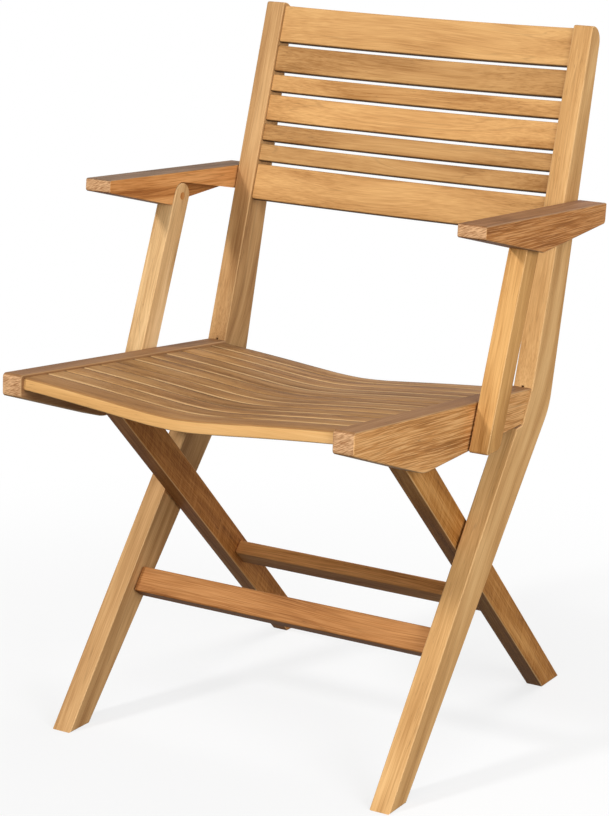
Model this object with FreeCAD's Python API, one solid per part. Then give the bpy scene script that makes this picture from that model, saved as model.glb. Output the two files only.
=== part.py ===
import FreeCAD, Part
import math
import os

os.makedirs("parts", exist_ok=True)

Vec = FreeCAD.Vector

# Side view points are (y, z): y rearwards from the front feet, z up from the floor.
# The finished parts are moved so that the origin lies under the middle of the chair.

# Timbers across the chair and the gaps between them
SEAT_WIDTH = 419.0
RAIL_THICK = 27.5
POST_INSET = 2.5
POST_THICK = 27.0
LEG_GAP = 0.8
LEG_THICK = 24.0
SUPPORT_GAP = 2.5
SUPPORT_THICK = 25.0
ARM_GAP = 1.5
ARM_WIDTH = 37.5

# The layers that follow, from the middle outwards
RAIL_IN = SEAT_WIDTH / 2.0
RAIL_OUT = RAIL_IN + RAIL_THICK
POST_IN = RAIL_IN + POST_INSET
POST_OUT = POST_IN + POST_THICK
LEG_OUT = RAIL_IN - LEG_GAP
LEG_IN = LEG_OUT - LEG_THICK
SUPPORT_IN = RAIL_OUT + SUPPORT_GAP
SUPPORT_OUT = SUPPORT_IN + SUPPORT_THICK
ARM_IN = POST_OUT + ARM_GAP
ARM_OUT = ARM_IN + ARM_WIDTH

# Long post, foot to head
POST_TOP = 880.0
FOOT_FRONT = -3.0
FOOT_REAR = 39.0
LOWER_FRONT_SLOPE = 0.770
LOWER_REAR_SLOPE = 0.8808
UPPER_FRONT_START = 210.5
UPPER_FRONT_SLOPE = 0.299
UPPER_REAR_START = 303.3
UPPER_REAR_SLOPE = 0.2264
POST_KINK_R = 70.0
POST_HEAD_REAR_R = 20.0
POST_HEAD_FRONT_R = 2.5
POST_EASE = 2.0

# Seat rail
RAIL_FRONT = -113.0
RAIL_TOP_AT_ZERO = 467.9
RAIL_SLOPE = -0.0857
RAIL_NOSE_LOW = 450.5
RAIL_KNEE = (58.0, 392.8)
RAIL_HEEL = (317.2, 397.3)
RAIL_KNEE_R = 70.0
RAIL_EASE = 2.0
RAIL_NOSE_R = 5.0
SEAT_GAP = 0.5

# Rear leg
LEG_FRONT_START = 482.1
LEG_FRONT_SLOPE = -1.0654
LEG_REAR_START = 533.4
LEG_REAR_SLOPE = -1.0372
LEG_HEAD_R = 21.5
LEG_EASE = 2.0
FORK_ROOM = 0.15
FORK_FLARE = 6.0

# Pivots in the side view
SEAT_PIVOT = (355.3, 448.4)
SUPPORT_FOOT_PIVOT = (198.4, 438.4)
ARM_PIVOT = (430.3, 649.0)
LEG_PIVOT = (233.5, 261.0)
REST_PIN_AT = (67.2, 419.1)
FOLD_ANGLE = 101.7
LUG_BEND = (375.0, 434.6)
LUG_TAIL = (288.0, 411.0)

# Armrest
ARM_FRONT = (110.5, 678.4)
ARM_REAR = (454.0, 662.2)
ARM_NOSE_DEPTH = 15.9
ARM_KNEE_FROM_FRONT = 160.0
ARM_KNEE_DEPTH = 46.0
ARM_KNEE_R = 12.0
ARM_END_DEPTH = 26.0
ARM_NOTCH_ANGLE = 100.3
ARM_NOTCH_GAP = 1.1
ARM_NOTCH_SIDE = 0.8
ARM_PIN_COVER = 4.0
ARM_EASE = 1.8

# Arm support
SUPPORT_HALF = 16.8
SUPPORT_LOW = 395.0
SUPPORT_EASE = 1.6

# Seat slats
SEAT_FRONT = -107.0
FRONT_SLAT = 47.0
SLAT_PITCH = 36.6
SLAT_COUNT = 12
SLAT_GAP = 2.0
SLAT_THICK = 15.0
SLAT_DROP = 3.0
DISH = [(0.0, 17.0), (0.12, 16.1), (0.3, 12.9), (0.5, 8.8), (0.75, 4.1), (1.0, 0.0)]
SLAT_BEVEL = 1.4
NOSE_UPPER_R = 2.5
NOSE_LOWER_R = 2.0
SLAT_TENON = 10.0
SLAT_TENON_THICK = 7.0
SLAT_TENON_INSET = 6.0

# Back slats, listed from the top
HEAD_RISE = 2.7
BACK_HEIGHTS = [50.0, 35.5, 23.0, 35.5, 23.0, 23.0, 48.0]
BACK_GAP = 4.5
BACK_THICK = 12.0
BACK_EASE = 2.2
BACK_RECESS_END = 4.0
BACK_RECESS_MID = 14.0
BACK_TENON = 9.0
BACK_TENON_THICK = 7.0
BACK_TENON_INSET = 4.0

# Stretchers
FRONT_BAR_AT = (150.5, 157.0)
FRONT_BAR = (33.5, 20.0)
REAR_BAR_AT = (351.0, 150.0)
REAR_BAR = (30.0, 19.0)
BAR_SHOULDER = 2.4
BAR_EASE = 3.0
BAR_TENON = 13.0
BAR_TENON_INSET = 5.0

# Metal fittings
FIT = 0.05
OPEN_FIT = 0.10
LUG_THICK = 3.0
LUG_EYE_R = 7.0
LUG_HALF = 2.75
LUG_ROOM = 0.5
LUG_PIN_INSET = 9.0
HINGE_PIN_R = 3.0
LUG_PIN_R = 2.0
PIVOT_PIN_R = 4.0
PIN_BITE = 18.0
PIN_ROOM = 1.0
REST_PIN_R = 5.0
WASHER_R = 9.0
PLUG_R = 5.0
PLUG_DEPTH = 3.0

RAIL_PIN_END = RAIL_IN + SLAT_TENON + 1.0
MID_DEPTH = (RAIL_FRONT + LEG_REAR_START) / 2.0


def add(p, q, k=1.0):
    return (p[0] + k * q[0], p[1] + k * q[1])


def unit(y, z):
    n = math.hypot(y, z)
    return (y / n, z / n)


def turned(v, degrees):
    a = math.radians(degrees)
    return (v[0] * math.cos(a) - v[1] * math.sin(a), v[0] * math.sin(a) + v[1] * math.cos(a))


def at_z(start, slope, z):
    return (start + slope * z, z)


def crossing(start_a, slope_a, start_b, slope_b):
    z = (start_b - start_a) / (slope_a - slope_b)
    return (start_a + slope_a * z, z)


def rail_top(y):
    return RAIL_TOP_AT_ZERO + RAIL_SLOPE * y


ALONG_POST = unit(UPPER_FRONT_SLOPE, 1.0)
ALONG_RAIL = unit(1.0, RAIL_SLOPE)
ALONG_LOWER = unit(LOWER_FRONT_SLOPE, 1.0)
ALONG_LEG = unit((LEG_FRONT_SLOPE + LEG_REAR_SLOPE) / 2.0, 1.0)
LINK = add(ARM_PIVOT, SEAT_PIVOT, -1.0)
ARM_TIP_PIVOT = add(SUPPORT_FOOT_PIVOT, LINK)
ALONG_SUPPORT = unit(*LINK)
LUG_PIN_AT = add(LUG_TAIL, unit(*add(LUG_BEND, LUG_TAIL, -1.0)), LUG_PIN_INSET)
SEAT_CORNER = crossing(UPPER_FRONT_START, UPPER_FRONT_SLOPE,
                       -RAIL_TOP_AT_ZERO / RAIL_SLOPE, 1.0 / RAIL_SLOPE)


def plate(corners, x0, x1):
    """Solid between x0 and x1 from side view corners (y, z, corner radius)."""
    edges = []
    joins = []
    count = len(corners)
    for i in range(count):
        p = corners[i][:2]
        radius = corners[i][2]
        before = unit(*add(corners[i - 1][:2], p, -1.0))
        after = unit(*add(corners[(i + 1) % count][:2], p, -1.0))
        if radius == 0.0:
            joins.append((p, None, p))
            continue
        half = math.acos(before[0] * after[0] + before[1] * after[1]) / 2.0
        reach = radius / math.tan(half)
        middle = unit(before[0] + after[0], before[1] + after[1])
        crest = add(p, middle, radius / math.sin(half) - radius)
        joins.append((add(p, before, reach), crest, add(p, after, reach)))
    for i in range(count):
        first, crest, last = joins[i]
        if crest is not None:
            edges.append(Part.Arc(Vec(x0, *first), Vec(x0, *crest), Vec(x0, *last)).toShape())
        follow = joins[(i + 1) % count][0]
        edges.append(Part.makeLine(Vec(x0, *last), Vec(x0, *follow)))
    face = Part.Face(Part.Wire(edges))
    return face.extrude(Vec(x1 - x0, 0, 0))


def rod(centre, radius, x0, x1):
    low = min(x0, x1)
    return Part.makeCylinder(radius, abs(x1 - x0), Vec(low, *centre), Vec(1, 0, 0))


def washer(centre, radius, hole, x0, x1):
    return rod(centre, radius, x0, x1).cut(rod(centre, hole, x0 - 1.0, x1 + 1.0))


def bar(centre, along, length, thick, x0, x1):
    """Straight bar across the chair; its length lies along the given side view direction."""
    across = (along[1], -along[0])
    corners = []
    for i, j in ((-1, -1), (1, -1), (1, 1), (-1, 1)):
        p = add(add(centre, along, i * length / 2.0), across, j * thick / 2.0)
        corners.append((p[0], p[1], 0.0))
    return plate(corners, x0, x1)


def ease_face(solid, x, radius):
    """Round every edge that lies in the plane at x."""
    edges = []
    for edge in solid.Edges:
        box = edge.BoundBox
        if abs(box.XMin - x) < 1e-4 and abs(box.XMax - x) < 1e-4:
            edges.append(edge)
    return solid.makeFillet(radius, edges)


def mirrored(solid):
    return solid.mirror(Vec(0, 0, 0), Vec(1, 0, 0))


def save(name, solids):
    moved = []
    for solid in solids:
        copy = solid.copy()
        copy.translate(Vec(0, -MID_DEPTH, 0))
        moved.append(copy)
    shape = moved[0] if len(moved) == 1 else Part.makeCompound(moved)
    shape.exportStep("parts/" + name + ".step")


def save_pair(name, solid):
    save(name + "_right", [solid])
    save(name + "_left", [mirrored(solid)])


def tilted(solid, along, base):
    """Carry a solid drawn with its z axis upright into the frame that leans along a direction."""
    angle = -math.degrees(math.atan2(along[0], along[1]))
    solid.rotate(Vec(0, 0, 0), Vec(1, 0, 0), angle)
    solid.translate(Vec(0, *base))
    return solid


# Shapes that cut into their neighbours

def strip(p, q, half, x0, x1):
    """Flat strip between two side view points, square at both ends."""
    direction = unit(*add(q, p, -1.0))
    side = turned(direction, 90.0)
    corners = [add(p, side, half), add(q, side, half), add(q, side, -half), add(p, side, -half)]
    return plate([(c[0], c[1], 0.0) for c in corners], x0, x1)


def lug_slot():
    """Room in the post for the swan neck of the hinge lug, from the open seat to the folded one."""
    half = LUG_HALF + LUG_ROOM
    bend = add(LUG_BEND, SEAT_PIVOT, -1.0)
    neck = unit(*bend)
    foot = unit(*add(LUG_TAIL, LUG_BEND, -1.0))
    folded = turned(neck, -FOLD_ANGLE)
    reach = abs(LUG_TAIL[0] - LUG_BEND[0])
    sweep = math.hypot(*bend) + half
    corners = [add(SEAT_PIVOT, turned(neck, 90.0), half), add(LUG_BEND, turned(neck, 90.0), half)]
    corners += [add(SEAT_PIVOT, turned(neck, -angle), sweep) for angle in (0.0, 12.0, 24.0, 36.0)]
    corners += [add(add(LUG_BEND, foot, reach), turned(foot, 90.0), half),
                add(add(SEAT_PIVOT, folded, reach), turned(folded, -90.0), half),
                add(SEAT_PIVOT, turned(folded, -90.0), half)]
    x0 = (POST_IN + RAIL_OUT - LUG_THICK - LUG_ROOM) / 2.0
    x1 = x0 + LUG_THICK + LUG_ROOM
    room = plate([(c[0], c[1], 0.0) for c in corners], x0, x1)
    return room.fuse([rod(SEAT_PIVOT, LUG_EYE_R + LUG_ROOM, x0, x1), rod(LUG_BEND, half, x0, x1)])


def hinge_lug():
    """Swan neck plate: an eye on the hinge pin, a bend inside the post, a tail in the rail."""
    x0 = (POST_IN + RAIL_OUT - LUG_THICK) / 2.0
    x1 = x0 + LUG_THICK
    lug = rod(SEAT_PIVOT, LUG_EYE_R, x0, x1).fuse([
        strip(SEAT_PIVOT, LUG_BEND, LUG_HALF, x0, x1), rod(LUG_BEND, LUG_HALF, x0, x1),
        strip(LUG_BEND, LUG_TAIL, LUG_HALF, x0, x1)])
    return lug.removeSplitter()


def seat_frame(solid):
    """Place a solid drawn with y along the rail and z square to it."""
    angle = math.degrees(math.atan2(ALONG_RAIL[1], ALONG_RAIL[0]))
    solid.rotate(Vec(0, 0, 0), Vec(1, 0, 0), angle)
    solid.translate(Vec(0, 0, RAIL_TOP_AT_ZERO))
    return solid


def back_frame(solid):
    """Place a solid drawn with z up the post front and y behind it."""
    return tilted(solid, ALONG_POST, SEAT_CORNER)


def slat_span(index):
    start = SEAT_FRONT
    if index > 0:
        start = SEAT_FRONT + FRONT_SLAT + (index - 1) * SLAT_PITCH
    width = FRONT_SLAT if index == 0 else SLAT_PITCH
    return start, start + width - SLAT_GAP


def slat_tenon(index, spare):
    """Tenon through both ends of a seat slat, thicker by the spare for its mortise."""
    y0, y1 = slat_span(index)
    y0 += SLAT_TENON_INSET - spare
    y1 -= SLAT_TENON_INSET - spare
    reach = RAIL_IN + SLAT_TENON + spare
    middle = -SLAT_DROP - SLAT_THICK / 2.0
    half = SLAT_TENON_THICK / 2.0 + spare
    return seat_frame(Part.makeBox(2 * reach, y1 - y0, 2 * half, Vec(-reach, y0, middle - half)))


def dish_curve(lift):
    points = []
    for share, depth in DISH[::-1]:
        points.append(Vec(-share * RAIL_IN, 0, lift - SLAT_DROP - depth))
    for share, depth in DISH[1:]:
        points.append(Vec(share * RAIL_IN, 0, lift - SLAT_DROP - depth))
    curve = Part.BSplineCurve()
    curve.interpolate(Points=points, InitialTangent=Vec(1, 0, -0.02), FinalTangent=Vec(1, 0, 0.02))
    return curve.toShape()


def seat_slat(index):
    y0, y1 = slat_span(index)
    top = dish_curve(0.0)
    low = dish_curve(-SLAT_THICK)
    sides = []
    for x in (-RAIL_IN, RAIL_IN):
        sides.append(Part.makeLine(Vec(x, 0, -SLAT_DROP), Vec(x, 0, -SLAT_DROP - SLAT_THICK)))
    face = Part.Face(Part.Wire(Part.__sortEdges__([top, low] + sides)))
    solid = face.extrude(Vec(0, y1 - y0, 0))
    solid.translate(Vec(0, y0, 0))
    rounding = {}
    for edge in solid.Edges:
        box = edge.BoundBox
        if box.XLength < RAIL_IN:
            continue
        upper = box.ZMax > -SLAT_DROP - 1.0
        if index == 0 and box.YMax < y0 + 0.01:
            rounding.setdefault(NOSE_UPPER_R if upper else NOSE_LOWER_R, []).append(edge)
    for radius, edges in sorted(rounding.items(), reverse=True):
        solid = solid.makeFillet(radius, edges)
    narrow = []
    for edge in solid.Edges:
        box = edge.BoundBox
        rear = box.YMin > y1 - 0.01
        front = box.YMax < y0 + 0.01 and index > 0
        if box.XLength > RAIL_IN and box.YLength < 0.01 and (rear or front):
            narrow.append(edge)
    solid = solid.makeChamfer(SLAT_BEVEL, narrow)
    return seat_frame(solid).fuse(slat_tenon(index, 0.0))


def back_span(index):
    head = (POST_TOP - SEAT_CORNER[1]) / ALONG_POST[1]
    top = head - HEAD_RISE - sum(BACK_HEIGHTS[:index]) - BACK_GAP * index
    return top - BACK_HEIGHTS[index], top


def back_tenon(index, spare):
    low, high = back_span(index)
    low += BACK_TENON_INSET - spare
    high -= BACK_TENON_INSET - spare
    reach = POST_IN + BACK_TENON + spare
    middle = BACK_RECESS_END + BACK_THICK / 2.0
    half = BACK_TENON_THICK / 2.0 + spare
    tenons = []
    for x0 in (-reach, POST_IN - 2.0):
        length = reach - POST_IN + 2.0
        box = Part.makeBox(length, 2 * half, high - low, Vec(x0, middle - half, low))
        tenons.append(back_frame(box))
    return tenons


def back_slat(index):
    low, high = back_span(index)
    edges = []
    for lift in (0.0, BACK_THICK):
        ends = [Vec(-POST_IN, BACK_RECESS_END + lift, low), Vec(POST_IN, BACK_RECESS_END + lift, low)]
        edges.append(Part.Arc(ends[0], Vec(0, BACK_RECESS_MID + lift, low), ends[1]).toShape())
    for x in (-POST_IN, POST_IN):
        edges.append(Part.makeLine(Vec(x, BACK_RECESS_END, low),
                                   Vec(x, BACK_RECESS_END + BACK_THICK, low)))
    face = Part.Face(Part.Wire(Part.__sortEdges__(edges)))
    solid = face.extrude(Vec(0, 0, high - low))
    long_edges = [edge for edge in solid.Edges if edge.BoundBox.XLength > POST_IN]
    solid = back_frame(solid.makeFillet(BACK_EASE, long_edges))
    return solid.fuse(back_tenon(index, 0.0))


def stretcher(centre, along, size, reach):
    """Cross bar with bevelled shoulders and a tenon at each end."""
    solid = bar(centre, along, size[0], size[1], -reach, reach)
    long_edges = [edge for edge in solid.Edges if edge.BoundBox.XLength > reach]
    solid = solid.makeFillet(BAR_EASE, long_edges)
    ends = []
    for edge in solid.Edges:
        box = edge.BoundBox
        if box.XLength < 1e-4:
            ends.append(edge)
    return solid.makeChamfer(BAR_SHOULDER, ends).fuse(
        bar_tenon(centre, along, size, reach, 0.0))


def bar_tenon(centre, along, size, reach, spare):
    length = size[0] - 2 * (BAR_TENON_INSET - spare)
    thick = size[1] - 2 * (BAR_TENON_INSET - spare)
    end = reach + BAR_TENON + spare
    return bar(centre, along, length, thick, -end, end)


def long_post():
    front_low = at_z(FOOT_FRONT, LOWER_FRONT_SLOPE, RAIL_HEEL[1] - 1.8)
    heel = add(RAIL_HEEL, (SEAT_GAP, -0.3))
    rear_kink = crossing(UPPER_REAR_START, UPPER_REAR_SLOPE, FOOT_REAR, LOWER_REAR_SLOPE)
    top_front = at_z(UPPER_FRONT_START, UPPER_FRONT_SLOPE, POST_TOP)
    top_rear = at_z(UPPER_REAR_START, UPPER_REAR_SLOPE, POST_TOP)
    corners = [(FOOT_FRONT, 0.0, 0.0), (FOOT_REAR, 0.0, 0.0), rear_kink + (POST_KINK_R,),
               top_rear + (POST_HEAD_REAR_R,), top_front + (POST_HEAD_FRONT_R,),
               SEAT_CORNER + (0.0,), heel + (0.0,), front_low + (0.0,)]
    solid = plate(corners, POST_IN, POST_OUT)
    solid = ease_face(solid, POST_OUT, POST_EASE)
    solid = ease_face(solid, POST_IN, POST_EASE)
    cutters = [lug_slot(), bar_tenon(FRONT_BAR_AT, ALONG_LOWER, FRONT_BAR, POST_IN, 0.1)]
    for index in range(len(BACK_HEIGHTS)):
        cutters += back_tenon(index, 0.1)
    cutters.append(rod(SEAT_PIVOT, HINGE_PIN_R, POST_IN + 2.0, POST_OUT - 2.0))
    cutters.append(rod(SEAT_PIVOT, PLUG_R, POST_OUT - 2.0, POST_OUT + 1.0))
    cutters.append(rod(LEG_PIVOT, PIVOT_PIN_R, POST_IN - 1.0, POST_IN + PIN_BITE))
    cutters.append(rod(ARM_PIVOT, PIVOT_PIN_R, POST_OUT - PIN_BITE, POST_OUT + 1.0))
    return solid.cut(cutters)


def seat_rail():
    corners = [(RAIL_FRONT, rail_top(RAIL_FRONT), RAIL_NOSE_R),
               (RAIL_FRONT, RAIL_NOSE_LOW, RAIL_NOSE_R),
               RAIL_KNEE + (RAIL_KNEE_R,), RAIL_HEEL + (0.0,),
               (SEAT_CORNER[0] - SEAT_GAP, rail_top(SEAT_CORNER[0] - SEAT_GAP), 0.0)]
    solid = plate(corners, RAIL_IN, RAIL_OUT)
    keep = []
    for edge in solid.Edges:
        box = edge.BoundBox
        if box.XLength < 1e-4 and box.YMin < RAIL_HEEL[0] - 1.0:
            keep.append(edge)
    solid = solid.makeFillet(RAIL_EASE, keep)
    cutters = [slat_tenon(index, 0.1) for index in range(SLAT_COUNT)]
    cutters.append(hinge_lug())
    cutters.append(rod(LUG_PIN_AT, LUG_PIN_R, RAIL_IN - 1.0, RAIL_IN + PIN_BITE))
    cutters.append(rod(SUPPORT_FOOT_PIVOT, PIVOT_PIN_R, RAIL_PIN_END, RAIL_OUT + 1.0))
    cutters.append(rod(REST_PIN_AT, REST_PIN_R, RAIL_IN - 1.0, RAIL_IN + PIN_BITE))
    return solid.cut(cutters)


def rear_leg():
    axis_side = (ALONG_LEG[1], -ALONG_LEG[0])
    head = REST_PIN_AT
    end = add(head, ALONG_LEG, LEG_HEAD_R)
    corners = [(LEG_FRONT_START, 0.0, 0.0), (LEG_REAR_START, 0.0, 0.0)]
    rear_end = crossing_with_end(LEG_REAR_START, LEG_REAR_SLOPE, end, axis_side)
    front_end = crossing_with_end(LEG_FRONT_START, LEG_FRONT_SLOPE, end, axis_side)
    corners.append(rear_end + (LEG_HEAD_R * 0.93,))
    corners.append(front_end + (LEG_HEAD_R * 0.93,))
    solid = plate(corners, LEG_IN, LEG_OUT)
    solid = ease_face(solid, LEG_IN, LEG_EASE)
    solid = ease_face(solid, LEG_OUT, LEG_EASE)
    half = REST_PIN_R + FORK_ROOM
    mouth = half + FORK_FLARE
    out = add(head, ALONG_LEG, LEG_HEAD_R * 1.25)
    slot = [add(head, axis_side, -half), add(head, axis_side, half),
            add(out, axis_side, mouth), add(out, axis_side, -mouth)]
    cutters = [plate([(p[0], p[1], 0.0) for p in slot], LEG_IN - 1.0, LEG_OUT + 1.0)]
    cutters.append(rod(head, half, LEG_IN - 1.0, LEG_OUT + 1.0))
    cutters.append(rod(LEG_PIVOT, PIVOT_PIN_R + FIT, LEG_OUT - PIN_BITE - PIN_ROOM, LEG_OUT + 1.0))
    cutters.append(bar_tenon(REAR_BAR_AT, ALONG_LEG, REAR_BAR, LEG_IN, 0.1))
    return solid.cut(cutters)


def crossing_with_end(start, slope, end, side):
    """Where a leg edge meets the line square to the leg through its end."""
    k = (start + slope * end[1] - end[0]) / (side[0] - slope * side[1])
    return add(end, side, k)


def armrest():
    along_top = unit(*add(ARM_REAR, ARM_FRONT, -1.0))
    over_knee = add(ARM_FRONT, along_top, ARM_KNEE_FROM_FRONT)
    knee = (over_knee[0], over_knee[1] - ARM_KNEE_DEPTH)
    corners = [ARM_FRONT + (2.5,), (ARM_FRONT[0] - 1.0, ARM_FRONT[1] - ARM_NOSE_DEPTH, 3.5),
               knee + (ARM_KNEE_R,), (ARM_REAR[0] - 2.1, ARM_REAR[1] - ARM_END_DEPTH, 5.0),
               ARM_REAR + (2.0,)]
    solid = plate(corners, ARM_IN, ARM_OUT)
    solid = ease_face(solid, ARM_OUT, ARM_EASE)
    solid = ease_face(solid, ARM_IN, 1.0)
    room = SUPPORT_HALF + ARM_NOTCH_GAP
    folded = turned(ALONG_SUPPORT, ARM_NOTCH_ANGLE)
    folded = (-folded[0], -folded[1])
    square = (-folded[1], folded[0])
    front = add(ARM_TIP_PIVOT, (ALONG_SUPPORT[1], -ALONG_SUPPORT[0]), -room)
    low = add(front, ALONG_SUPPORT, -3.0 * room)
    ceiling = add(ARM_TIP_PIVOT, square, room)
    far = add(ceiling, folded, 1.2 * ARM_KNEE_FROM_FRONT)
    notch = [front, low, (far[0], low[1]), far, ceiling, ARM_TIP_PIVOT]
    depth = SUPPORT_OUT + ARM_NOTCH_SIDE
    cutters = [plate([(p[0], p[1], 0.0) for p in notch], ARM_IN - 1.0, depth)]
    cutters.append(rod(ARM_TIP_PIVOT, room, ARM_IN - 1.0, depth))
    cutters.append(rod(ARM_TIP_PIVOT, PIVOT_PIN_R + FIT, depth - 1.0, ARM_OUT - ARM_PIN_COVER))
    cutters.append(rod(ARM_PIVOT, PIVOT_PIN_R + FIT, ARM_IN - 1.0, ARM_IN + PIN_BITE + PIN_ROOM))
    return solid.cut(cutters)


def arm_support():
    side = (ALONG_SUPPORT[1], -ALONG_SUPPORT[0])
    foot = add(SUPPORT_FOOT_PIVOT, ALONG_SUPPORT,
               (SUPPORT_LOW - SUPPORT_FOOT_PIVOT[1]) / ALONG_SUPPORT[1])
    spread = SUPPORT_HALF / ALONG_SUPPORT[1]
    head = add(ARM_TIP_PIVOT, ALONG_SUPPORT, SUPPORT_HALF)
    corners = [(foot[0] - spread - 0.4, SUPPORT_LOW, 3.0), (foot[0] + spread, SUPPORT_LOW, 15.0)]
    for k in (1.0, -1.0):
        p = add(head, side, k * SUPPORT_HALF)
        corners.append((p[0], p[1], SUPPORT_HALF - 0.3))
    solid = plate(corners, SUPPORT_IN, SUPPORT_OUT)
    solid = ease_face(solid, SUPPORT_OUT, SUPPORT_EASE)
    solid = ease_face(solid, SUPPORT_IN, SUPPORT_EASE)
    foot_end = SUPPORT_IN + PIN_BITE + PIN_ROOM
    cutters = [rod(SUPPORT_FOOT_PIVOT, PIVOT_PIN_R + OPEN_FIT, SUPPORT_IN - 1.0, foot_end),
               rod(ARM_TIP_PIVOT, PIVOT_PIN_R, SUPPORT_IN + PLUG_DEPTH, SUPPORT_OUT + 1.0),
               rod(ARM_TIP_PIVOT, PLUG_R, SUPPORT_IN - 1.0, SUPPORT_IN + PLUG_DEPTH)]
    return solid.cut(cutters)


def build_wood():
    save_pair("long_post", long_post())
    save_pair("seat_rail", seat_rail())
    save_pair("rear_leg", rear_leg())
    save_pair("armrest", armrest())
    save_pair("arm_support", arm_support())
    for index in range(len(BACK_HEIGHTS)):
        save("back_slat_" + str(index + 1), [back_slat(index)])
    for index in range(SLAT_COUNT):
        save("seat_slat_" + str(index + 1).zfill(2), [seat_slat(index)])
    save("front_stretcher", [stretcher(FRONT_BAR_AT, ALONG_LOWER, FRONT_BAR, POST_IN)])
    save("rear_stretcher", [stretcher(REAR_BAR_AT, ALONG_LEG, REAR_BAR, LEG_IN)])


def both(solid):
    return [solid, mirrored(solid)]


def build_fittings():
    eye = rod(SEAT_PIVOT, HINGE_PIN_R + FIT, POST_IN, POST_OUT)
    save("hinge_lugs", both(hinge_lug().cut([eye, rod(LUG_PIN_AT, LUG_PIN_R, POST_IN, POST_OUT)])))
    save("lug_pins", both(rod(LUG_PIN_AT, LUG_PIN_R, RAIL_IN, RAIL_IN + PIN_BITE)))
    save("hinge_pins", both(rod(SEAT_PIVOT, HINGE_PIN_R, POST_IN + 2.0, POST_OUT - 2.0)))
    save("hinge_plugs", both(rod(SEAT_PIVOT, PLUG_R, POST_OUT - 2.0, POST_OUT)))
    save("leg_pivot_pins", both(rod(LEG_PIVOT, PIVOT_PIN_R, LEG_OUT - PIN_BITE, POST_IN + PIN_BITE)))
    save("leg_washers", both(washer(LEG_PIVOT, WASHER_R, PIVOT_PIN_R, LEG_OUT + FIT, POST_IN)))
    save("arm_pivot_pins", both(rod(ARM_PIVOT, PIVOT_PIN_R, POST_OUT - PIN_BITE, ARM_IN + PIN_BITE)))
    save("arm_washers", both(washer(ARM_PIVOT, WASHER_R, PIVOT_PIN_R, POST_OUT, ARM_IN - FIT)))
    save("support_pins", both(rod(SUPPORT_FOOT_PIVOT, PIVOT_PIN_R, RAIL_PIN_END,
                                  SUPPORT_IN + PIN_BITE)))
    save("support_washers", both(washer(SUPPORT_FOOT_PIVOT, WASHER_R, PIVOT_PIN_R,
                                        RAIL_OUT, SUPPORT_IN - FIT)))
    save("rest_pins", both(rod(REST_PIN_AT, REST_PIN_R, LEG_IN + PIN_ROOM, RAIL_IN + PIN_BITE)))
    tip_start = SUPPORT_IN + PLUG_DEPTH
    tip_end = ARM_OUT - ARM_PIN_COVER - PIN_ROOM
    save_pair("arm_tip_pin", rod(ARM_TIP_PIVOT, PIVOT_PIN_R, tip_start, tip_end))
    save_pair("arm_tip_plug", rod(ARM_TIP_PIVOT, PLUG_R, SUPPORT_IN, tip_start))


build_wood()
build_fittings()
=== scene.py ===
import math

import bpy
from mathutils import Matrix, Vector


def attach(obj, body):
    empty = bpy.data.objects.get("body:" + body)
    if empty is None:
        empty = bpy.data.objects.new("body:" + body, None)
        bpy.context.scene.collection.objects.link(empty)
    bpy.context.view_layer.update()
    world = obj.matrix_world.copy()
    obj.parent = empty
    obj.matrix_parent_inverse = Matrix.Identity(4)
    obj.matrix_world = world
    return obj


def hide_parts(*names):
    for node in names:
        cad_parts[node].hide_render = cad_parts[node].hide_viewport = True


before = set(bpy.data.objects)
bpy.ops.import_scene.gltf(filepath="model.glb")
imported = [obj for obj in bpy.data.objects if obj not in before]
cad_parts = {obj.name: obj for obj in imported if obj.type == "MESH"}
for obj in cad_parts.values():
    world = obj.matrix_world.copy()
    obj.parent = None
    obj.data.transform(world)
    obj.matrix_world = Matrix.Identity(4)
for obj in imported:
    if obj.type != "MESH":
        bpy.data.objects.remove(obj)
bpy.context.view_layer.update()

# Folding teak armchair, dressed over its solids.
# Everything is in metres: +Z up, the front of the chair faces -Y, the floor is at z = 0.

# Where the camera stood and how it was held, in metres and degrees
CAMERA_AT = Vector((1.4800, -2.6010, 1.1533))
CAMERA_AZIMUTH = 29.59
CAMERA_DOWN = 10.36
CAMERA_ROLL = 1.70
IMAGE_SIZE = (609, 816)
FOCAL_PIXELS = 2471.7
AXIS_PIXEL = (319.5, 248.9)
SENSOR = 36.0
CAMERA_REACH = (0.05, 60.0)

# Studio: the name, place, point looked at, width and watts of each lamp, and how the floor
# and the world look to the camera and as lights
LAMPS = (
    ("key", (-2.4, -4.0, 3.85), (0.0, 0.0, 0.45), 0.8, 194.0),
    ("front", (0.9, -3.6, 0.8), (0.0, 0.0, 0.4), 2.0, 50.0),
    ("fill", (3.2, -1.4, 1.5), (0.0, 0.0, 0.4), 2.2, 86.0),
    ("rim", (0.6, 2.6, 2.8), (0.0, 0.0, 0.6), 2.4, 62.0),
)
WORLD_LIGHT = 0.24
FLOOR_HALF = 12.0
FLOOR_AS_SEEN = (0.80, 0.80, 0.80)
FLOOR_AS_LIGHT = (0.10, 0.10, 0.10)
SHADOW_REACH = (0.4, 1.2)

# Side view of the chair, measured from the front foot's front edge, which lies at FOOT_Y.
# A post's front line is given by its y at the floor and its slope, y for each metre of z.
FOOT_Y = -0.2102
POST_LOWER = (-0.0030, 0.770)
POST_UPPER = (0.2105, 0.299)
POST_BEND = 0.05
RAIL_SLOPE = 0.0857
RAIL_TILT = math.atan(RAIL_SLOPE)
RAIL_TOP = 0.4679
ARM_SLOPE = 0.0472
# Here the line of the rails' tops meets the front line of the upper posts
SEAT_CORNER = Vector((0.0, 0.3416 + FOOT_Y, 0.4386))
BACK_TILT = math.atan(POST_UPPER[1])
LEG_LEAN = math.atan(1.0513)
SUPPORT_LEAN = math.atan(0.3739)

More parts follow.
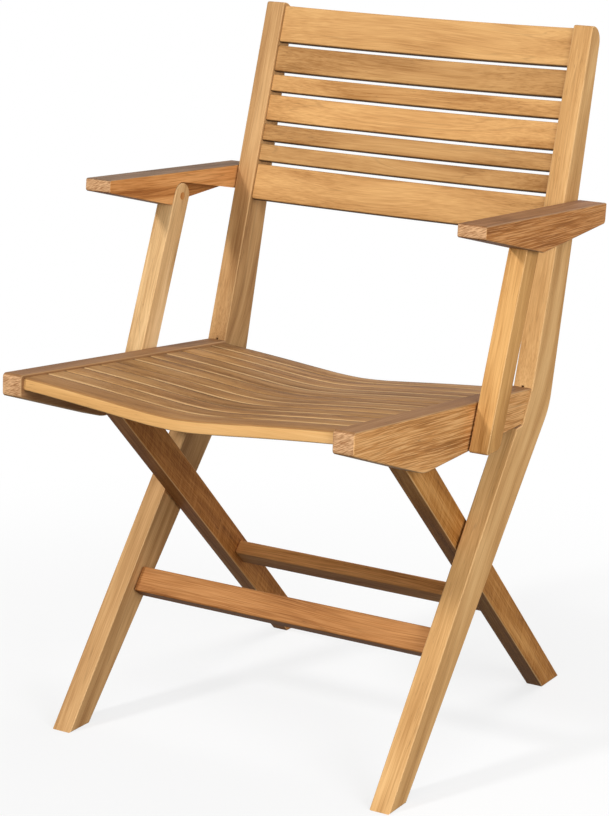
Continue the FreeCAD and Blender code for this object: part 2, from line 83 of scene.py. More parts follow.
# Slats. The points say how deep a slat's centre line lies, with 1 for its full bow, at shares
# of the way from its middle to its end.
SEAT_HALF = 0.2095
BACK_HALF = 0.2120
SEAT_FRONT = -0.1070
SEAT_THICK = 0.0150
SEAT_PITCH = 0.0366
SEAT_GAP = 0.0020
FRONT_SLAT = 0.0470
SEAT_DROP = 0.0030
SEAT_DISH = 0.0170
SEAT_SLATS = 12
DISH_POINTS = [(0.0, 1.0), (0.12, 0.947), (0.3, 0.759), (0.5, 0.518), (0.75, 0.241), (1.0, 0.0)]
BACK_TOP = 0.4580
BACK_HEIGHTS = [0.0500, 0.0355, 0.0230, 0.0355, 0.0230, 0.0230, 0.0480]
BACK_GAP = 0.0045
BACK_THICK = 0.0120
BACK_RECESS = 0.0040
BACK_BOW = 0.0100
BACK_TONES = (0.50, 0.15, 0.60, 0.70, 0.10, 0.05, 0.50)
BOW_POINTS = [(0.0, 1.0), (0.25, 0.9375), (0.5, 0.75), (0.75, 0.4375), (1.0, 0.0)]
SLAT_EASE = 0.0022
SEAT_EASE = 0.0014
SLAT_STATIONS = 49
EASE_STEPS = 4

# Figure of the timber: how often it repeats in a metre, across the grain and along it
FIBRE = (1100.0, 22.0)
STREAK = (360.0, 3.5)
FIGURE = (40.0, 5.0)
RINGS = (60.0, 1.4)
PORES = (1000.0, 60.0)
WEAVE = (860.0, 16.0)
WEAR = (60.0, 5.0)
WANDER = (4.0, 3.0)
# The same for the sawn ends, on x, y and z, and the angle their rows are turned by, in radians
SAWN_END = (130.0, 1100.0, 30.0)
SAWN_TURN = 0.4
# How far the grain wanders and how high the fibres stand, in metres
WANDER_REACH = 0.022
FIBRE_HEIGHT = 0.0003

UP = (0.0, 0.0, 1.0)
DOWN = (0.0, 0.0, -1.0)
WHITE = (1.0, 1.0, 1.0, 1.0)

# Sockets of a Mix node that mixes colours
MIX_SHARE, MIX_FROM, MIX_TO, MIX_RESULT = 0, 6, 7, 2


def put(tree, kind, settings=None, inputs=None):
    """Add a node, set its properties and fill its inputs with values or sockets."""
    made = tree.nodes.new(kind)
    for name, value in (settings or {}).items():
        setattr(made, name, value)
    for name, value in (inputs or {}).items():
        socket = made.inputs[name]
        if isinstance(value, bpy.types.NodeSocket):
            tree.links.new(value, socket)
        else:
            socket.default_value = value
    return made


def math_node(tree, operation, a, b=0.0, c=0.0):
    """The result of a sum on values or sockets."""
    return put(tree, "ShaderNodeMath", {"operation": operation}, {0: a, 1: b, 2: c}).outputs[0]


def ramp(tree, factor, stops):
    """Colour ramp from (place, colour) stops."""
    made = put(tree, "ShaderNodeValToRGB", None, {"Fac": factor})
    band = made.color_ramp
    while len(band.elements) < len(stops):
        band.elements.new(0.5)
    for element, (place, colour) in zip(band.elements, stops):
        element.position = place
        element.color = (*colour, 1.0)
    return made.outputs["Color"]


def linear(red, green, blue):
    """A colour as a screen shows it, turned into the shader's linear values."""
    return tuple(math.pow(value / 255.0, 2.2) for value in (red, green, blue))


def new_material(name):
    """A material, its node tree and its shader."""
    material = bpy.data.materials.new(name)
    material.use_nodes = True
    tree = material.node_tree
    return material, tree, tree.nodes["Principled BSDF"]


def turned(tree, vector, turn):
    """Coordinates turned about the origin, by radians round x, y and z."""
    return put(tree, "ShaderNodeMapping", {"vector_type": "POINT"},
               {"Vector": vector, "Rotation": turn}).outputs["Vector"]


def leaning(lean):
    """Timber that leans back by an angle: its coordinates, z along the grain, and its axis."""
    def grain(tree):
        place = put(tree, "ShaderNodeTexCoord").outputs["Object"]
        return turned(tree, place, (lean, 0.0, 0.0))
    return grain, (0.0, math.sin(lean), math.cos(lean))


def crosswise():
    """Timber that lies across the chair, with x put on z."""
    def grain(tree):
        place = put(tree, "ShaderNodeTexCoord").outputs["Object"]
        return turned(tree, place, (0.0, math.pi / 2.0, 0.0))
    return grain, (1.0, 0.0, 0.0)


def bent():
    """Timber of the long posts, whose grain follows their bend."""
    def grain(tree):
        place = put(tree, "ShaderNodeTexCoord").outputs["Object"]
        parts = put(tree, "ShaderNodeSeparateXYZ", None, {"Vector": place})
        edges = []
        for start, slope in (POST_LOWER, POST_UPPER):
            edges.append(math_node(tree, "MULTIPLY_ADD", parts.outputs["Z"], slope,
                                   start + FOOT_Y))
        edge = math_node(tree, "SMOOTH_MIN", edges[0], edges[1], POST_BEND)
        across = math_node(tree, "SUBTRACT", parts.outputs["Y"], edge)
        return put(tree, "ShaderNodeCombineXYZ", None, {
            "X": parts.outputs["X"], "Y": across, "Z": parts.outputs["Z"]}).outputs["Vector"]
    return grain, (0.0, 0.28, 0.96)


def shifted(tree, vector, amount):
    """Coordinates moved by an amount, given as numbers or as a socket."""
    return put(tree, "ShaderNodeVectorMath", {"operation": "ADD"},
               {0: vector, 1: amount}).outputs["Vector"]


def scaled(tree, vector, across, along):
    """Coordinates scaled across the grain, on x and y, and along it, on z."""
    return put(tree, "ShaderNodeVectorMath", {"operation": "MULTIPLY"},
               {0: vector, 1: (across, across, along)}).outputs["Vector"]


def noise(tree, vector, detail=2.0, rough=0.5, warp=0.0):
    """Smooth noise round 0.5 with a period of about one."""
    made = put(tree, "ShaderNodeTexNoise", None,
               {"Vector": vector, "Scale": 1.0, "Detail": detail, "Roughness": rough,
                "Distortion": warp})
    return made.outputs["Fac"]


def weighed(tree, parts):
    """Sum of noises round 0.5, each one with its weight."""
    total = 0.5
    for value, weight in parts:
        off = math_node(tree, "SUBTRACT", value, 0.5)
        total = math_node(tree, "MULTIPLY_ADD", off, weight, total)
    return total


def share_between(tree, value, none, full):
    """0 up to one value, 1 from the other one on. The second may be the lower of the two."""
    made = put(tree, "ShaderNodeMapRange", {"interpolation_type": "SMOOTHSTEP"},
               {"Value": value, "From Min": none, "From Max": full})
    return made.outputs["Result"]


def mix_colour(tree, factor, a, b, blend="MIX"):
    """The first colour at a factor of 0, blended with the second one as it rises to 1."""
    made = put(tree, "ShaderNodeMix", {"data_type": "RGBA", "blend_type": blend})
    for index, value in ((MIX_SHARE, factor), (MIX_FROM, a), (MIX_TO, b)):
        if isinstance(value, bpy.types.NodeSocket):
            tree.links.new(value, made.inputs[index])
        else:
            made.inputs[index].default_value = value if index == MIX_SHARE else (*value, 1.0)
    return made.outputs[MIX_RESULT]


def shaded(tree, colour, level):
    """A colour times a level of brightness."""
    grey = put(tree, "ShaderNodeCombineColor", None, {"Red": level, "Green": level, "Blue": level})
    return mix_colour(tree, 1.0, colour, grey.outputs["Color"], "MULTIPLY")


def darkened(tree, colour, share, amount):
    """A colour darkened by the amount where the share is 1."""
    return shaded(tree, colour, math_node(tree, "MULTIPLY_ADD", share, -amount, 1.0))


def facing(tree, axis, none, full, both_ways=False):
    """1 where the surface looks along an axis, 0 where it looks well away from it.

    The two limits are cosines of the angle between the surface's normal and the axis.
    """
    normal = put(tree, "ShaderNodeTexCoord").outputs["Normal"]
    along = put(tree, "ShaderNodeVectorMath", {"operation": "DOT_PRODUCT"},
                {0: normal, 1: axis}).outputs["Value"]
    if both_ways:
        along = math_node(tree, "ABSOLUTE", along)
    return share_between(tree, along, none, full)


def facing_inwards(tree):
    """1 on the faces of a side timber that look towards the middle of the chair.

    There x, about 0.2 m, and the normal's x have opposite signs.
    """
    place = put(tree, "ShaderNodeTexCoord").outputs
    along = put(tree, "ShaderNodeVectorMath", {"operation": "MULTIPLY"},
                {0: place["Object"], 1: place["Normal"]}).outputs["Vector"]
    across = put(tree, "ShaderNodeSeparateXYZ", None, {"Vector": along}).outputs["X"]
    return share_between(tree, across, -0.06, -0.14)


def worn_highlight_arrises(tree):
    """Arrises of a timber sawn square to x, pale from wear and with a painted highlight: normals
    between the x axis and its side.
    """
    normal = put(tree, "ShaderNodeTexCoord").outputs["Normal"]
    across = put(tree, "ShaderNodeSeparateXYZ", None, {"Vector": normal}).outputs["X"]
    square = math_node(tree, "MULTIPLY", across, across)
    ridge = math_node(tree, "MULTIPLY", square, math_node(tree, "SUBTRACT", 1.0, square))
    return share_between(tree, ridge, 0.02, 0.30)


def attribute(tree, name):
    """A value that the mesh carries."""
    return put(tree, "ShaderNodeAttribute", {"attribute_name": name}).outputs["Fac"]


def slat_edge(tree, name, full, none):
    """1 within the full distance from a slat's edge, 0 beyond the other one."""
    return share_between(tree, attribute(tree, name), none, full)


def wandering(tree, vector):
    """Lets the grain wander by some millimetres along a piece."""
    wander = math_node(tree, "SUBTRACT", noise(tree, scaled(tree, vector, *WANDER), 1.0), 0.5)
    wander = math_node(tree, "MULTIPLY", wander, WANDER_REACH)
    sway = put(tree, "ShaderNodeCombineXYZ", None, {"X": wander, "Y": wander}).outputs[0]
    return shifted(tree, vector, sway)


def toned(tree, level, palette):
    """A palette's colour for each level of the figure, from pale to deep."""
    pale, middle, deep = palette
    return ramp(tree, level, [(0.0, pale), (0.5, middle), (1.0, deep)])


def ribboned(tree, vector, colour, pale, slant, strength):
    """Short flecks and marks at a slant to the grain, as on timber with interlocked fibres."""
    slanted = scaled(tree, turned(tree, vector, (slant, 0.0, 0.0)), *WEAVE)
    weave = noise(tree, slanted, 1.0, 0.6)
    flecks = math_node(tree, "MULTIPLY", share_between(tree, weave, 0.50, 0.62), strength)
    colour = mix_colour(tree, flecks, colour, pale)
    return darkened(tree, colour, share_between(tree, weave, 0.47, 0.39), 0.35 * strength)


def worn_and_shaded_tops(tree, colour, worn_shaded_colour, inner_worn_shaded):
    """The tone of wear, partly painted shade, on faces that look up, and where it is asked for on
    the inner faces too.
    """
    # Wear and painted shade: faces that look up take the darker top palette.
    worn_shaded_share = facing(tree, UP, 0.2, 0.5)
    if inner_worn_shaded:
        worn_shaded_share = math_node(tree, "MAXIMUM", worn_shaded_share, facing_inwards(tree))
    return mix_colour(tree, worn_shaded_share, colour, worn_shaded_colour)


def sawn_ends(tree, vector, axis, colour):
    """Rows of cut pores on the faces across the grain."""
    sawn = put(tree, "ShaderNodeVectorMath", {"operation": "MULTIPLY"}, {
        0: turned(tree, vector, (0.0, 0.0, SAWN_TURN)), 1: SAWN_END}).outputs["Vector"]
    cut = ramp(tree, noise(tree, sawn), [(0.35, END_CUT[0]), (0.68, END_CUT[1])])
    return mix_colour(tree, facing(tree, axis, 0.75, 0.92, both_ways=True), colour, cut)


def patchy_worn_highlight(tree, vector, colour, edge):
    """A slat's edge pale from wear in patches, with a painted highlight."""
    patches = share_between(tree, noise(tree, scaled(tree, vector, *WEAR), 1.0), 0.40, 0.60)
    patches = math_node(tree, "MULTIPLY_ADD", patches, 0.50, 0.05)
    worn_highlight_share = math_node(tree, "MULTIPLY", slat_edge(tree, *edge), patches)
    return mix_colour(tree, worn_highlight_share, colour, EDGE_WORN_HIGHLIGHT)


def wood(name, timber, palette, worn_shaded_upper=None, contrast=1.0, seed=0.0, per_piece=False, ribbon=None,
         inner_worn_shaded=False, arris_highlight=0.5, worn_highlight_edge=None, dirt_and_shade_edge=None, painted_under_shade=0.58):
    """Sanded timber: fine fibres and streaks, a broad figure, thin growth lines, short pores.

    Faces that look down are darkened by painted shade, by the share given for it.
    """
    grain, axis = timber
    material, tree, shader = new_material(name)
    vector = shifted(tree, grain(tree), (seed, seed * 1.7, seed * 0.6))
    if per_piece:
        tone = attribute(tree, "tone")
        offset = put(tree, "ShaderNodeVectorMath", {"operation": "SCALE"},
                     {0: (3.1, 1.3, 5.7), "Scale": tone}).outputs["Vector"]
        vector = shifted(tree, vector, offset)
    vector = wandering(tree, vector)
    fibre = noise(tree, scaled(tree, vector, *FIBRE))
    streak = noise(tree, scaled(tree, vector, *STREAK))
    figure = noise(tree, scaled(tree, vector, *FIGURE), 1.0, 0.5, 0.5)
    rings = noise(tree, scaled(tree, vector, *RINGS), 1.0)
    level = weighed(tree, ((fibre, contrast), (streak, 0.6 * contrast), (figure, 1.4 * contrast)))
    colour = toned(tree, level, palette)
    if ribbon is not None:
        colour = ribboned(tree, vector, colour, palette[0], *ribbon)
    if worn_shaded_upper is not None:
        colour = worn_and_shaded_tops(tree, colour, toned(tree, level, worn_shaded_upper), inner_worn_shaded)
    ring_line = math_node(tree, "ABSOLUTE", math_node(tree, "SUBTRACT", rings, 0.5))
    colour = darkened(tree, colour, share_between(tree, ring_line, 0.012, 0.0), 0.13 * contrast)
    pores = share_between(tree, noise(tree, scaled(tree, vector, *PORES), 1.0), 0.66, 0.74)
    clusters = share_between(tree, figure, 0.42, 0.62)
    colour = darkened(tree, colour, math_node(tree, "MULTIPLY", pores, clusters),
                      0.30 if ribbon is None else 0.50)
    # Painted shade: faces that look down are darkened.
    colour = darkened(tree, colour, facing(tree, DOWN, 0.35, 0.72), painted_under_shade)
    if per_piece:
        colour = shaded(tree, colour, math_node(tree, "MULTIPLY_ADD", tone, 0.34, 0.78))
    colour = sawn_ends(tree, vector, axis, colour)
    # Painted highlight, partly real wear, on the arrises.
    if arris_highlight > 0.0:
        worn_highlight_share = math_node(tree, "MULTIPLY", worn_highlight_arrises(tree), arris_highlight)
        colour = mix_colour(tree, worn_highlight_share, colour, EDGE_WORN_HIGHLIGHT)
    # Painted highlight, partly real wear, on the front edge of the seat slats.
    if worn_highlight_edge is not None:
        colour = patchy_worn_highlight(tree, vector, colour, worn_highlight_edge)
    # Painted shade, with some dirt, along one edge of each slat, where the gaps lie.
    if dirt_and_shade_edge is not None:
        colour = darkened(tree, colour, slat_edge(tree, *dirt_and_shade_edge), 0.6)
    tree.links.new(colour, shader.inputs["Base Color"])
    tree.links.new(math_node(tree, "MULTIPLY_ADD", streak, 0.16, WOOD_ROUGHNESS),
                   shader.inputs["Roughness"])
    shader.inputs["Specular IOR Level"].default_value = WOOD_SHINE
    height = math_node(tree, "MULTIPLY_ADD", pores, -0.5, fibre)
    bump = put(tree, "ShaderNodeBump", None,
               {"Height": height, "Strength": 0.22, "Distance": FIBRE_HEIGHT})
    tree.links.new(bump.outputs["Normal"], shader.inputs["Normal"])
    return material


def brass():
    """Brass gone dull in patches."""
    material, tree, shader = new_material("brass")
    place = put(tree, "ShaderNodeTexCoord").outputs["Object"]
    dull = noise(tree, scaled(tree, place, 300.0, 300.0), 3.0)
    colour = ramp(tree, dull, [(0.3, linear(176, 138, 70)), (0.7, linear(204, 168, 96))])
    tree.links.new(colour, shader.inputs["Base Color"])
    tree.links.new(math_node(tree, "MULTIPLY_ADD", dull, 0.25, 0.25), shader.inputs["Roughness"])
    shader.inputs["Metallic"].default_value = 1.0
    return material


# Each palette: where the timber is pale, its usual tone, where it is deep
GOLDEN = (linear(226, 182, 125), linear(203, 156, 101), linear(174, 127, 76))
OCHRE = (linear(206, 162, 111), linear(183, 139, 91), linear(151, 108, 67))
AMBER = (linear(220, 171, 111), linear(198, 148, 92), linear(160, 111, 62))
HONEY = (linear(214, 164, 102), linear(187, 137, 80), linear(148, 101, 51))
# FRESH, the left support's palette, is paler than HONEY: partly its own tone, partly painted light
# that offsets the shade of the armrest and seat.
FRESH = (linear(234, 198, 148), linear(212, 172, 121), linear(178, 135, 87))
TAN = (linear(230, 180, 122), linear(192, 134, 77), linear(148, 95, 50))
BROWN = (linear(214, 158, 102), linear(170, 110, 57), linear(130, 78, 38))
RUSSET = (linear(224, 164, 104), linear(192, 130, 74), linear(146, 90, 46))
# The palettes for the tops of the rails, the arms and the front slat: tone of wear and partly
# painted shade on faces that look up.
SEAT = (linear(184, 139, 88), linear(153, 110, 66), linear(110, 74, 41))
WEATHERED_SHADED = (linear(174, 132, 92), linear(145, 105, 70), linear(112, 76, 46))
UMBER = (linear(160, 116, 78), linear(134, 93, 60), linear(102, 67, 39))
ASHEN = (linear(150, 120, 94), linear(122, 95, 72), linear(92, 68, 48))
NOSE = (linear(226, 180, 122), linear(208, 159, 100), linear(184, 134, 80))
DARK = (linear(208, 144, 82), linear(161, 102, 50), linear(104, 60, 26))
TAWNY = (linear(204, 150, 88), linear(162, 107, 51), linear(108, 66, 30))
RED = (linear(198, 141, 88), linear(167, 111, 63), linear(126, 77, 41))
# CEDAR, the rear bar's palette, is a paler copy of RED: painted light that offsets the shade the
# bar stands in; the bar also gets less painted shade below.
CEDAR = (linear(218, 156, 96), linear(186, 126, 72), linear(142, 91, 49))
END_CUT = (linear(214, 170, 126), linear(146, 100, 64))
# Colour of pale arrises and slat edges: wear and a painted highlight.
EDGE_WORN_HIGHLIGHT = linear(226, 186, 134)
WOOD_SHINE = 0.12
WOOD_ROUGHNESS = 0.54

RAIL_GRAIN = leaning(math.pi / 2.0 + RAIL_SLOPE)
ARM_GRAIN = leaning(math.pi / 2.0 + ARM_SLOPE)
# Dark line at the joints of the seat slats: painted shade in the gap, partly dirt.
JOINT_DIRT_AND_SHADE = ("from_rear", 0.0024, 0.0044)

FINISHES = {
    "post_left": wood("left_post_teak", bent(), OCHRE, contrast=1.1, seed=0.31),
    "post_right": wood("right_post_teak", bent(), GOLDEN, contrast=1.0, seed=0.74),
    "back": wood("back_slat_teak", crosswise(), AMBER, seed=1.7, per_piece=True,
                 arris_highlight=0.0, dirt_and_shade_edge=("from_front", 0.0006, 0.0022)),
    "seat": wood("seat_slat_teak", crosswise(), SEAT, contrast=1.2, seed=2.9, per_piece=True,
                 ribbon=(0.0, 0.25), arris_highlight=0.0, worn_highlight_edge=("from_front", 0.0016, 0.0046),
                 dirt_and_shade_edge=JOINT_DIRT_AND_SHADE),
    "nose": wood("front_slat_teak", crosswise(), NOSE, worn_shaded_upper=SEAT, seed=4.1, contrast=0.7,
                 arris_highlight=0.0, dirt_and_shade_edge=JOINT_DIRT_AND_SHADE),
    "rails": wood("rail_teak", RAIL_GRAIN, TAN, worn_shaded_upper=WEATHERED_SHADED, contrast=0.75,
                  ribbon=(-0.01, 0.65), inner_worn_shaded=True, seed=5.3, arris_highlight=0.3),
    "arm_left": wood("left_armrest_teak", ARM_GRAIN, RUSSET, worn_shaded_upper=ASHEN, contrast=1.4,
                     seed=6.1, arris_highlight=0.2),
    "arm_right": wood("right_armrest_teak", ARM_GRAIN, BROWN, worn_shaded_upper=UMBER,
                      ribbon=(-0.02, 0.6), seed=6.7, arris_highlight=0.2),
    "support_left": wood("left_support_teak", leaning(SUPPORT_LEAN), FRESH, contrast=1.2,
                         seed=7.1),
    "support_right": wood("right_support_teak", leaning(SUPPORT_LEAN), HONEY, contrast=1.2,
                          seed=7.7),
    "leg_left": wood("left_leg_teak", leaning(-LEG_LEAN), DARK, ribbon=(1.1, 0.30), seed=8.3,
                     painted_under_shade=0.5),
    "leg_right": wood("right_leg_teak", leaning(-LEG_LEAN), TAWNY, ribbon=(1.1, 0.30), seed=8.9,
                      painted_under_shade=0.45),
    "bar_front": wood("front_bar_teak", crosswise(), RED, ribbon=(0.0, 0.35), seed=9.9,
                      arris_highlight=0.0),
    "bar_rear": wood("rear_bar_teak", crosswise(), CEDAR, ribbon=(0.0, 0.35), seed=10.4,
                     arris_highlight=0.0, painted_under_shade=0.4),
    "plugs": wood("plug_teak", leaning(0.0), BROWN, seed=11.3, arris_highlight=0.0),
    "brass": brass(),
}

NODE_FINISH = {
    "long_post_left": "post_left", "long_post_right": "post_right", "seat_rail": "rails",
    "armrest_left": "arm_left", "armrest_right": "arm_right", "arm_tip_plug": "plugs",
    "arm_support_left": "support_left", "arm_support_right": "support_right",
    "rear_leg_left": "leg_left", "rear_leg_right": "leg_right", "front_stretcher": "bar_front",
    "rear_stretcher": "bar_rear", "back_slat": "back", "seat_slat": "seat",
    "hinge_plugs": "post_right",
}


def finish_of(node):
    """The finish of a node, by how its name starts. All others are brass hardware."""
    for start, finish in NODE_FINISH.items():
        if node.startswith(start):
            return FINISHES[finish]
    return FINISHES["brass"]


def dress_solids():
    """Give every solid its finish."""
    for name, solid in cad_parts.items():
        solid.data.materials.clear()
        solid.data.materials.append(finish_of(name))


def slat_line(tree, half, bow, points):
    """The centre line of a slat along x, sunk by its bow as the points say."""
    left = put(tree, "ShaderNodeCombineXYZ", None,
               {"X": math_node(tree, "MULTIPLY", half, -1.0)}).outputs[0]
    right = put(tree, "ShaderNodeCombineXYZ", None, {"X": half}).outputs[0]
    line = put(tree, "GeometryNodeCurvePrimitiveLine", None, {"Start": left, "End": right})
    line = put(tree, "GeometryNodeResampleCurve", None, {
        "Curve": line.outputs[0], "Count": SLAT_STATIONS})
    place = put(tree, "GeometryNodeInputPosition").outputs[0]
    x = put(tree, "ShaderNodeSeparateXYZ", None, {"Vector": place}).outputs["X"]
    share = math_node(tree, "DIVIDE", math_node(tree, "ABSOLUTE", x), half)
    shape = put(tree, "ShaderNodeFloatCurve", None, {"Value": share})
    bow_points(shape, points)
    sink = math_node(tree, "MULTIPLY", math_node(tree, "MULTIPLY", shape.outputs[0], bow), -1.0)
    drop = put(tree, "ShaderNodeCombineXYZ", None, {"Z": sink}).outputs[0]
    line = put(tree, "GeometryNodeSetPosition", None, {"Geometry": line.outputs[0], "Offset": drop})
    line = put(tree, "GeometryNodeSetCurveNormal", {"mode": "Z_UP"}, {"Curve": line.outputs[0]})
    return line.outputs[0]


def bow_points(shape, points):
    """Set how a slat's centre line lies from its middle, at 0, to its end, at 1."""
    curve = shape.mapping.curves[0]
    while len(curve.points) < len(points):
        curve.points.new(0.5, 0.5)
    for point, place in zip(curve.points, points):
        point.location = place
    shape.mapping.update()


def slat_section(tree, width, thickness, radius):
    """A slat's section with eased edges. Its points carry their distances from both edges."""
    section = put(tree, "GeometryNodeCurvePrimitiveQuadrilateral", {"mode": "RECTANGLE"},
                  {"Width": width, "Height": thickness})
    section = put(tree, "GeometryNodeFilletCurve", {"mode": "POLY"},
                  {"Curve": section.outputs[0], "Count": EASE_STEPS, "Radius": radius})
    place = put(tree, "GeometryNodeInputPosition").outputs[0]
    aside = put(tree, "ShaderNodeSeparateXYZ", None, {"Vector": place}).outputs["X"]
    half_width = math_node(tree, "MULTIPLY", width, 0.5)
    for key, way in (("from_front", -1.0), ("from_rear", 1.0)):
        reach = math_node(tree, "MULTIPLY_ADD", aside, way, half_width)
        section = put(tree, "GeometryNodeStoreNamedAttribute",
                      {"data_type": "FLOAT", "domain": "POINT"},
                      {"Geometry": section.outputs[0], "Name": key, "Value": reach})
    return section.outputs[0]


def slat_tree(name, points):
    """A row of slats across the chair: a bowed centre line swept with an eased section."""
    tree = bpy.data.node_groups.new(name, "GeometryNodeTree")
    sizes = {}
    for key, kind, value in (
            ("Count", "NodeSocketInt", 1), ("Pitch", "NodeSocketFloat", 0.04),
            ("Half span", "NodeSocketFloat", 0.2), ("Width", "NodeSocketFloat", 0.03),
            ("Thickness", "NodeSocketFloat", 0.012), ("Edge radius", "NodeSocketFloat", 0.002),
            ("Bow", "NodeSocketFloat", 0.01), ("First tone", "NodeSocketFloat", 0.0),
            ("Tone spread", "NodeSocketFloat", 1.0), ("Seed", "NodeSocketInt", 3),
            ("Finish", "NodeSocketMaterial", None)):
        socket = tree.interface.new_socket(name=key, in_out="INPUT", socket_type=kind)
        if value is not None:
            socket.default_value = value
        sizes[key] = socket.identifier
    tree.interface.new_socket(name="Slats", in_out="OUTPUT", socket_type="NodeSocketGeometry")
    given = tree.nodes.new("NodeGroupInput").outputs
    line = slat_line(tree, given["Half span"], given["Bow"], points)
    section = slat_section(tree, given["Width"], given["Thickness"], given["Edge radius"])
    sweep = put(tree, "GeometryNodeCurveToMesh", None,
                {"Curve": line, "Profile Curve": section, "Fill Caps": True})
    step = put(tree, "ShaderNodeCombineXYZ", None, {"Y": given["Pitch"]}).outputs[0]
    row = put(tree, "GeometryNodeMeshLine", {"mode": "OFFSET"},
              {"Count": given["Count"], "Offset": step})
    row = put(tree, "GeometryNodeInstanceOnPoints", None,
              {"Points": row.outputs[0], "Instance": sweep.outputs[0]})
    chance = put(tree, "FunctionNodeRandomValue", {"data_type": "FLOAT"},
                 {"Seed": given["Seed"]}).outputs[1]
    tone = math_node(tree, "MULTIPLY_ADD", chance, given["Tone spread"], given["First tone"])
    row = put(tree, "GeometryNodeStoreNamedAttribute", {"data_type": "FLOAT", "domain": "INSTANCE"},
              {"Geometry": row.outputs[0], "Name": "tone", "Value": tone})
    row = put(tree, "GeometryNodeRealizeInstances", None, {"Geometry": row.outputs[0]})
    row = put(tree, "GeometryNodeSetMaterial", None,
              {"Geometry": row.outputs[0], "Material": given["Finish"]})
    result = tree.nodes.new("NodeGroupOutput")
    tree.links.new(row.outputs[0], result.inputs[0])
    return tree, sizes


def make_slats(name, slats, values, place):
    """Run a slat tree with these sizes and return a plain object in its place."""
    tree, sizes = slats
    carrier = bpy.data.objects.new(name, bpy.data.meshes.new(name))
    bpy.context.scene.collection.objects.link(carrier)
    modifier = carrier.modifiers.new("slats", "NODES")
    modifier.node_group = tree
    for key, value in values.items():
        modifier[sizes[key]] = value
    graph = bpy.context.evaluated_depsgraph_get()
    mesh = bpy.data.meshes.new_from_object(carrier.evaluated_get(graph),
                                           preserve_all_data_layers=True, depsgraph=graph)
    carrier.modifiers.clear()
    mesh.transform(place)
    carrier.data = mesh
    return carrier


def seat_place(front, width):
    """From the middle of a slat to its place along the tilted rails."""
    turn = Matrix.Rotation(-RAIL_TILT, 4, "X")
    along = Vector((0.0, front + width / 2.0, -SEAT_DROP - SEAT_THICK / 2.0))
    return Matrix.Translation((0.0, FOOT_Y, RAIL_TOP)) @ turn @ Matrix.Translation(along)


def make_seat():
    """Twelve slats dished towards the middle, the first one wider and with a fuller edge."""
    tree = slat_tree("dished_slats", DISH_POINTS)
    width = FRONT_SLAT - SEAT_GAP
    nose = make_slats("front_seat_slat", tree, {
        "Count": 1, "Width": width, "Thickness": SEAT_THICK, "Edge radius": SLAT_EASE,
        "Half span": SEAT_HALF, "Bow": SEAT_DISH, "First tone": 0.7, "Tone spread": 0.0,
        "Finish": FINISHES["nose"],
    }, seat_place(SEAT_FRONT, width))
    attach(nose, "seat")
    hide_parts("seat_slat_01")
    width = SEAT_PITCH - SEAT_GAP
    slats = make_slats("seat_slats", tree, {
        "Count": SEAT_SLATS - 1, "Pitch": SEAT_PITCH, "Width": width, "Thickness": SEAT_THICK,
        "Edge radius": SEAT_EASE, "Half span": SEAT_HALF, "Bow": SEAT_DISH, "Seed": 5,
        "Finish": FINISHES["seat"],
    }, seat_place(SEAT_FRONT + FRONT_SLAT, width))
    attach(slats, "seat")
    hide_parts(*["seat_slat_%02d" % index for index in range(2, SEAT_SLATS + 1)])


def make_back():
    """Seven slats of different heights, bowed backwards between the posts."""
    tree = slat_tree("bowed_slats", BOW_POINTS)
    lean = Matrix.Rotation(-BACK_TILT, 4, "X")
    upright = Matrix.Rotation(math.pi / 2.0, 4, "X")
    low = BACK_TOP
    for index, height in enumerate(BACK_HEIGHTS):
        low -= height
        inset = Vector((0.0, BACK_RECESS + BACK_THICK / 2.0, low + height / 2.0))
        place = Matrix.Translation(SEAT_CORNER) @ lean @ Matrix.Translation(inset) @ upright
        slat = make_slats("back_slat_piece_%d" % (index + 1), tree, {
            "Count": 1, "Width": height, "Thickness": BACK_THICK,
            "Edge radius": SLAT_EASE, "Half span": BACK_HALF, "Bow": BACK_BOW,
            "First tone": BACK_TONES[index], "Tone spread": 0.0, "Finish": FINISHES["back"],
        }, place)
        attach(slat, "frame")
        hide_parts("back_slat_%d" % (index + 1))
        low -= BACK_GAP


def seen_directly(tree):
    """1 for the rays that show a surface to the camera, straight or by way of metal or glass."""
    path = put(tree, "ShaderNodeLightPath").outputs
    return math_node(tree, "MAXIMUM", path["Is Camera Ray"], math_node(
        tree, "MAXIMUM", path["Is Glossy Ray"], path["Is Transmission Ray"]))


def make_floor():
    """Floor that looks pale, keeps a faint shadow near the chair and throws little light up."""
    material, tree, shader = new_material("pale_floor")
    seen = seen_directly(tree)
    tree.links.new(mix_colour(tree, seen, FLOOR_AS_LIGHT, FLOOR_AS_SEEN),
                   shader.inputs["Base Color"])
    shader.inputs["Roughness"].default_value = 0.9
    shader.inputs["Specular IOR Level"].default_value = 0.1
    place = put(tree, "ShaderNodeTexCoord").outputs["Object"]
    away = put(tree, "ShaderNodeVectorMath", {"operation": "LENGTH"}, {0: place}).outputs["Value"]
    far = share_between(tree, away, *SHADOW_REACH)
    white = math_node(tree, "MULTIPLY_ADD", far, 0.25, 0.75)
    glow = put(tree, "ShaderNodeEmission", None, {"Color": WHITE, "Strength": 1.0})
    mixed = put(tree, "ShaderNodeMixShader", None, {
        0: math_node(tree, "MULTIPLY", seen, white),
        1: shader.outputs[0], 2: glow.outputs[0]})
    tree.links.new(mixed.outputs[0], tree.nodes["Material Output"].inputs["Surface"])
    mesh = bpy.data.meshes.new("floor")
    corners = [(-FLOOR_HALF, -FLOOR_HALF, 0.0), (FLOOR_HALF, -FLOOR_HALF, 0.0),
               (FLOOR_HALF, FLOOR_HALF, 0.0), (-FLOOR_HALF, FLOOR_HALF, 0.0)]
    mesh.from_pydata(corners, [], [(0, 1, 2, 3)])
    mesh.materials.append(material)
    floor = bpy.data.objects.new("floor", mesh)
    bpy.context.scene.collection.objects.link(floor)


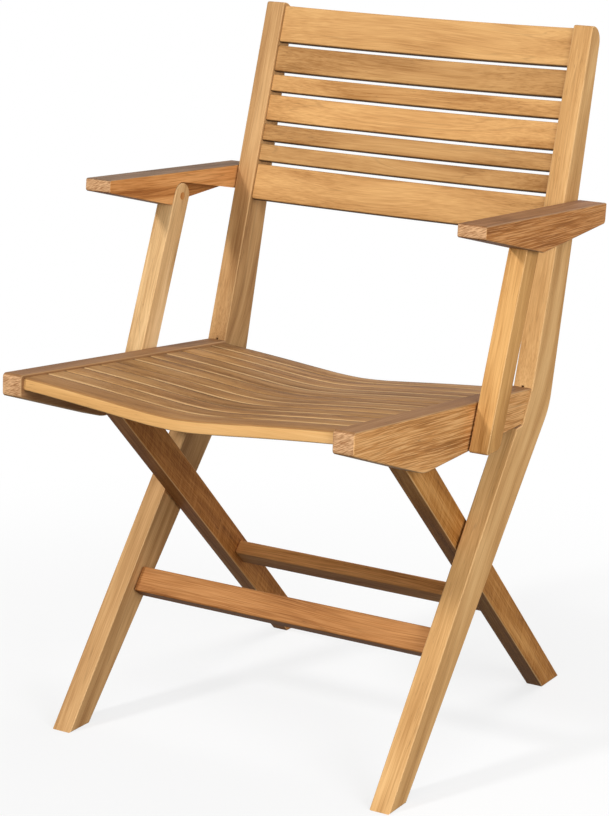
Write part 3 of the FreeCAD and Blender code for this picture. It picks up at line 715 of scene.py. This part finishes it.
def make_world():
    """White to the camera, softer as a light on the chair."""
    world = bpy.data.worlds.new("studio")
    bpy.context.scene.world = world
    world.use_nodes = True
    tree = world.node_tree
    lamp = tree.nodes["Background"]
    strength = math_node(tree, "MULTIPLY_ADD", seen_directly(tree), 1.0 - WORLD_LIGHT, WORLD_LIGHT)
    lamp.inputs["Color"].default_value = WHITE
    tree.links.new(strength, lamp.inputs["Strength"])


def make_lamp(name, place, aim, size, watts):
    """A white disk of this width that looks at a point."""
    lamp = bpy.data.lights.new(name, "AREA")
    lamp.shape = "DISK"
    lamp.size = size
    lamp.energy = watts
    holder = bpy.data.objects.new(name, lamp)
    bpy.context.scene.collection.objects.link(holder)
    holder.location = place
    holder.rotation_euler = (Vector(aim) - Vector(place)).to_track_quat("-Z", "Y").to_euler()


def make_camera():
    """The camera where it stood, its lens shifted so that its axis falls on the axis pixel."""
    azimuth = math.radians(CAMERA_AZIMUTH)
    down = math.radians(CAMERA_DOWN)
    roll = math.radians(CAMERA_ROLL)
    look = Vector((-math.sin(azimuth) * math.cos(down), math.cos(azimuth) * math.cos(down),
                   -math.sin(down)))
    right = Vector((math.cos(azimuth), math.sin(azimuth), 0.0))
    up = right.cross(look)
    right, up = (math.cos(roll) * right + math.sin(roll) * up,
                 -math.sin(roll) * right + math.cos(roll) * up)
    lens = bpy.data.cameras.new("camera")
    lens.sensor_fit = "AUTO"
    lens.sensor_width = SENSOR
    lens.lens = FOCAL_PIXELS / IMAGE_SIZE[1] * SENSOR
    lens.shift_x = (IMAGE_SIZE[0] / 2.0 - AXIS_PIXEL[0]) / IMAGE_SIZE[1]
    lens.shift_y = (AXIS_PIXEL[1] - IMAGE_SIZE[1] / 2.0) / IMAGE_SIZE[1]
    lens.clip_start, lens.clip_end = CAMERA_REACH
    camera = bpy.data.objects.new("camera", lens)
    bpy.context.scene.collection.objects.link(camera)
    turn = Matrix((right, up, -look)).transposed().to_4x4()
    camera.matrix_world = Matrix.Translation(CAMERA_AT) @ turn
    bpy.context.scene.camera = camera


dress_solids()
make_seat()
make_back()
make_floor()
make_world()
for studio_lamp in LAMPS:
    make_lamp(*studio_lamp)
make_camera()
bpy.context.scene.view_settings.view_transform = "Standard"
